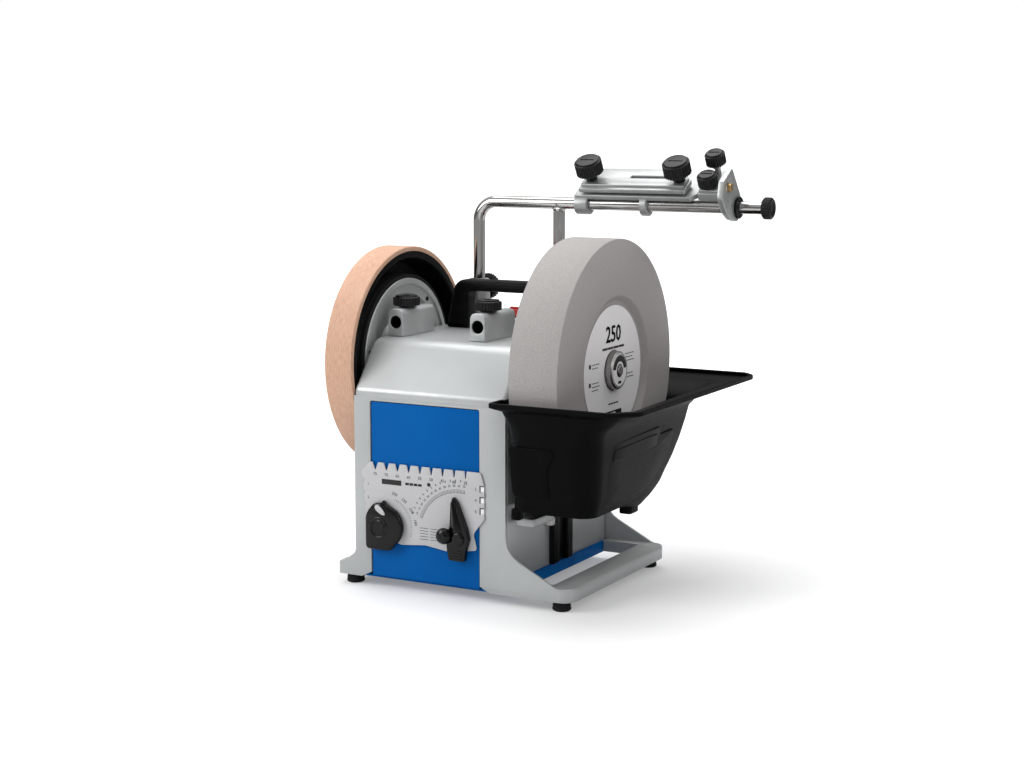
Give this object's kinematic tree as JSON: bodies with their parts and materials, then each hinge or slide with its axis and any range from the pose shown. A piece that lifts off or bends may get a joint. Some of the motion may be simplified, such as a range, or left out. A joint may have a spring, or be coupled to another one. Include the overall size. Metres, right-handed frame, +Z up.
{
  "type": "wet grinding sharpener",
  "caption": "Water-cooled bench sharpener with a grindstone, a leather honing wheel, a friction drive, a lifting water trough, an angle gauge and a straight-edge jig on a bar.",
  "frame": {"origin": "centre of the underside of the whole machine's bounding box, on the bench", "axes": "+X along the main shaft towards the grindstone, -Y towards the front with the gauge, +Z up"},
  "size_m": [0.3998, 0.304, 0.4225],
  "materials": {
    "housing_paint": "light silver grey satin paint",
    "panel_blue": "blue semi-gloss paint",
    "black_plastic": "moulded black plastic",
    "foot_rubber": "black rubber",
    "red_plastic": "red switch plastic",
    "steel": "machined steel",
    "chrome_bar": "polished bar",
    "cast_aluminium": "die-cast, bead blasted",
    "bushing_bronze": "bronze",
    "abrasive": "grey aluminium oxide abrasive",
    "label_paper": "printed light grey",
    "honing_leather": "pale leather, rough side out"
  },
  "bodies": {
    "housing": {"top_casting": "housing_paint", "front_frame": "housing_paint", "rear_frame": "housing_paint", "front_panel": "panel_blue", "rear_panel": "panel_blue", "right_side_plate": "housing_paint", "left_side_plate": "housing_paint", "base_pan": "panel_blue", "right_base_bar": "housing_paint", "left_base_bar": "housing_paint", "front_right_foot": "foot_rubber", "rear_right_foot": "foot_rubber", "front_left_foot": "foot_rubber", "rear_left_foot": "foot_rubber", "carrying_handle": "black_plastic", "switch_base": "black_plastic", "cord_inlet": "black_plastic", "left_front_sleeve": "housing_paint", "left_rear_sleeve": "housing_paint", "right_front_sleeve": "housing_paint", "right_rear_sleeve": "housing_paint", "left_bushing": "bushing_bronze", "right_bushing": "bushing_bronze", "motor_pivot_pin": "steel", "guide_column": "black_plastic", "gauge_plate": "label_paper"},
    "spindle": {"main_shaft": "steel", "drive_wheel": "cast_aluminium", "drive_ring": "foot_rubber", "honing_core": "black_plastic", "honing_leather": "honing_leather", "honing_nut": "black_plastic", "grindstone": "abrasive", "stone_label": "label_paper", "stone_nut": "steel"},
    "motor": {"motor_case": "steel"},
    "rotor": {"motor_rotor": "steel"},
    "trough": {"water_trough": "black_plastic", "lift_bracket": "cast_aluminium"},
    "lift_nut": {"lift_nut": "steel"},
    "support": {"universal_support": "chrome_bar"},
    "bar_end_knob": {"bar_end_knob": "black_plastic"},
    "left_front_lock": {"left_front_lock_knob": "black_plastic"},
    "right_front_lock": {"right_front_lock_knob": "black_plastic"},
    "left_rear_lock": {"left_rear_lock_knob": "black_plastic"},
    "right_rear_lock": {"right_rear_lock_knob": "black_plastic"},
    "jig_slider": {"jig_bushing": "black_plastic"},
    "jig": {"jig_body": "cast_aluminium"},
    "jig_clamp": {"jig_clamp_plate": "cast_aluminium"},
    "left_clamp": {"left_clamp_knob": "black_plastic"},
    "right_clamp": {"right_clamp_knob": "black_plastic"},
    "far_adjust": {"far_adjust_knob": "black_plastic"},
    "near_adjust": {"near_adjust_knob": "black_plastic"},
    "stop_screw": {"stop_screw": "bushing_bronze"},
    "jig_lock": {"jig_lock_knob": "black_plastic"},
    "gauge_dial": {"gauge_dial": "black_plastic"},
    "gauge_pointer": {"gauge_pointer": "black_plastic"},
    "switch": {"switch_rocker": "red_plastic"}
  },
  "joints": [
    {"name": "spindle_spin", "type": "hinge", "parent": "housing", "child": "spindle", "pos_m": [0.0746, -0.016, 0.213], "axis": [1, 0, 0], "continuous": true},
    {"name": "motor_swing", "type": "hinge", "parent": "housing", "child": "motor", "pos_m": [-0.0724, 0.014, 0.221], "axis": [1, 0, 0], "range_deg": [0, 3]},
    {"name": "rotor_spin", "type": "hinge", "parent": "motor", "child": "rotor", "pos_m": [-0.0724, 0.03894, 0.14516], "axis": [1, 0, 0], "continuous": true},
    {"name": "trough_lift", "type": "slide", "parent": "housing", "child": "trough", "axis": [0, 0, 1], "range_m": [-0.035, 0]},
    {"name": "lift_nut_turn", "type": "hinge", "parent": "trough", "child": "lift_nut", "pos_m": [0.0268, -0.064, 0.075], "axis": [0, 0, 1], "range_deg": [0, 360]},
    {"name": "support_height", "type": "slide", "parent": "housing", "child": "support", "axis": [0, 0, 1], "range_m": [-0.025, 0.085]},
    {"name": "bar_end_knob_turn", "type": "hinge", "parent": "support", "child": "bar_end_knob", "pos_m": [0.1906, 0.059, 0.366], "axis": [1, 0, 0], "range_deg": [0, 360]},
    {"name": "left_front_lock_turn", "type": "hinge", "parent": "housing", "child": "left_front_lock", "pos_m": [-0.1384, -0.051, 0.266], "axis": [0, 0, 1], "range_deg": [0, 360]},
    {"name": "left_rear_lock_turn", "type": "hinge", "parent": "housing", "child": "left_rear_lock", "pos_m": [-0.1184, 0.07, 0.2775], "axis": [0, 1, 0], "range_deg": [0, 360]},
    {"name": "right_front_lock_turn", "type": "hinge", "parent": "housing", "child": "right_front_lock", "pos_m": [-0.0464, -0.051, 0.266], "axis": [0, 0, 1], "range_deg": [0, 360]},
    {"name": "right_rear_lock_turn", "type": "hinge", "parent": "housing", "child": "right_rear_lock", "pos_m": [-0.0264, 0.07, 0.2775], "axis": [0, 1, 0], "range_deg": [0, 360]},
    {"name": "jig_slide", "type": "slide", "parent": "support", "child": "jig_slider", "axis": [1, 0, 0], "range_m": [-0.012, 0.02]},
    {"name": "jig_tilt", "type": "hinge", "parent": "jig_slider", "child": "jig", "pos_m": [0.0746, 0.059, 0.366], "axis": [1, 0, 0], "range_deg": [-60, 40]},
    {"name": "clamp_lift", "type": "slide", "parent": "jig", "child": "jig_clamp", "axis": [0, -0.5, 0.866], "range_m": [-0.002, 0.006]},
    {"name": "left_clamp_turn", "type": "hinge", "parent": "jig_clamp", "child": "left_clamp", "pos_m": [0.0106, 0.05753, 0.39055], "axis": [0, -0.5, 0.866], "range_deg": [0, 360]},
    {"name": "right_clamp_turn", "type": "hinge", "parent": "jig_clamp", "child": "right_clamp", "pos_m": [0.1046, 0.05753, 0.39055], "axis": [0, -0.5, 0.866], "range_deg": [0, 360]},
    {"name": "far_adjust_turn", "type": "hinge", "parent": "jig", "child": "far_adjust", "pos_m": [0.1356, 0.07845, 0.40032], "axis": [0, -0.5, 0.866], "range_deg": [-360, 360]},
    {"name": "near_adjust_turn", "type": "hinge", "parent": "jig", "child": "near_adjust", "pos_m": [0.1356, 0.05793, 0.38386], "axis": [0, -0.5, 0.866], "range_deg": [-360, 360]},
    {"name": "stop_screw_turn", "type": "hinge", "parent": "jig", "child": "stop_screw", "pos_m": [0.1646, 0.03361, 0.38598], "axis": [1, 0, 0], "range_deg": [0, 360]},
    {"name": "jig_lock_turn", "type": "hinge", "parent": "jig", "child": "jig_lock", "pos_m": [0.0016, 0.06853, 0.3715], "axis": [0, 0.866, 0.5], "range_deg": [0, 360]},
    {"name": "gauge_dial_turn", "type": "hinge", "parent": "housing", "child": "gauge_dial", "pos_m": [-0.1169, -0.126, 0.063], "axis": [0, 1, 0], "range_deg": [-60, 60]},
    {"name": "gauge_pointer_turn", "type": "hinge", "parent": "housing", "child": "gauge_pointer", "pos_m": [-0.0359, -0.126, 0.06], "axis": [0, 1, 0], "range_deg": [-60, 60]},
    {"name": "switch_rock", "type": "hinge", "parent": "housing", "child": "switch", "pos_m": [-0.0574, 0.045, 0.2516], "axis": [1, 0, 0], "range_deg": [0, 14]}
  ],
  "couplings": [
    {"joint": "rotor_spin", "follows": "spindle_spin", "ratio": -16.4}
  ]
}
